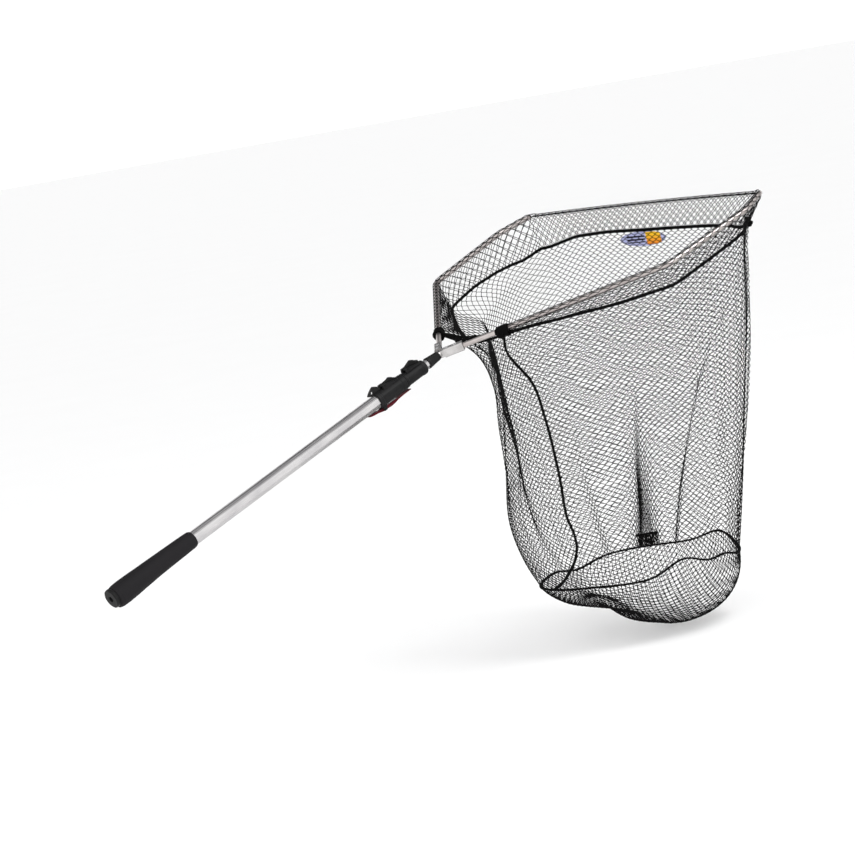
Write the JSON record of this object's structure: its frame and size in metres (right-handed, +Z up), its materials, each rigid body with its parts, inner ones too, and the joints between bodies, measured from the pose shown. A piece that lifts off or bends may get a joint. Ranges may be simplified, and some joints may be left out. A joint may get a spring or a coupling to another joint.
{
  "type": "folding landing net",
  "caption": "Folding landing net: telescopic faceted handle with lever locks, forked head, folding arms and a deep hanging mesh bag.",
  "frame": {"origin": "middle of the grip, on the handle's axis, where a hand holds the net", "axes": "+Z up, with the bag hanging along -Z; +X forwards from the grip towards the hoop, the handle rising 18.5 degrees towards +X in the XZ plane; +Y towards the far arm, the net symmetric about Y = 0 apart from the label"},
  "size_m": [1.3766, 0.7132, 0.793],
  "materials": {
    "foam": "matte closed-cell foam",
    "black_plastic": "satin moulded",
    "red_plastic": "dark red, satin",
    "aluminium": "drawn, satin",
    "steel": "plated",
    "netting": "knotless polyester mesh",
    "cord": "braided",
    "label": "woven"
  },
  "bodies": {
    "handle": {"outer_tube": "aluminium", "grip": "foam", "butt_cap": "black_plastic", "lower_collar": "black_plastic", "lower_lever_pin": "steel", "release_pin": "steel", "release_spring": "steel", "line_hook": "black_plastic"},
    "lower_lever": {"lower_lock_lever": "black_plastic"},
    "release": {"release_lever": "red_plastic"},
    "middle": {"middle_tube": "aluminium", "middle_tail_bush": "black_plastic", "upper_collar": "black_plastic", "upper_lever_pin": "steel"},
    "upper_lever": {"upper_lock_lever": "black_plastic"},
    "head": {"inner_tube": "aluminium", "inner_tail_bush": "black_plastic", "head_sleeve": "black_plastic", "fork_head": "aluminium", "near_bracket": "aluminium", "far_bracket": "aluminium", "near_bracket_rivet": "steel", "far_bracket_rivet": "steel", "near_pivot_rivet": "steel", "far_pivot_rivet": "steel", "front_line": "cord", "front_sleeve": "netting", "near_side_net": "netting", "far_side_net": "netting", "front_net": "netting", "fork_net": "netting", "bottom_net": "netting", "ring_cord": "cord", "near_seam_cord": "cord", "label": "label"},
    "near_arm": {"near_arm_tube": "aluminium", "near_arm_fitting": "black_plastic", "near_tip_cap": "black_plastic", "near_sleeve": "netting", "near_cuff": "cord"},
    "far_arm": {"far_arm_tube": "aluminium", "far_arm_fitting": "black_plastic", "far_tip_cap": "black_plastic", "far_sleeve": "netting", "far_cuff": "cord"}
  },
  "joints": [
    {"name": "middle_slide", "type": "slide", "parent": "handle", "child": "middle", "axis": [0.9483, 0, 0.3173], "range_m": [0, 0.56]},
    {"name": "inner_slide", "type": "slide", "parent": "middle", "child": "head", "axis": [0.9483, 0, 0.3173], "range_m": [0, 0.6]},
    {"name": "near_arm_fold", "type": "hinge", "parent": "head", "child": "near_arm", "pos_m": [0.70859, -0.02441, 0.2371], "axis": [-0.3173, 0, 0.9483], "range_deg": [0, 28], "deforming": ["front_line", "front_sleeve"]},
    {"name": "far_arm_fold", "type": "hinge", "parent": "head", "child": "far_arm", "pos_m": [0.70859, 0.02441, 0.2371], "axis": [0.3173, 0, -0.9483], "range_deg": [0, 28]},
    {"name": "lower_lock", "type": "hinge", "parent": "handle", "child": "lower_lever", "pos_m": [0.54533, 0, 0.20123], "axis": [0, -1, 0], "range_deg": [0, 45]},
    {"name": "upper_lock", "type": "hinge", "parent": "middle", "child": "upper_lever", "pos_m": [0.60308, 0, 0.21929], "axis": [0, -1, 0], "range_deg": [0, 45]},
    {"name": "release_press", "type": "hinge", "parent": "handle", "child": "release", "pos_m": [0.53994, 0, 0.16062], "axis": [0, -1, 0], "range_deg": [0, 1], "stiffness_Nm_per_rad": 4, "springref_deg": -2.86, "deforming": ["release_spring"]}
  ],
  "couplings": [
    {"joint": "far_arm_fold", "follows": "near_arm_fold", "ratio": 1}
  ]
}
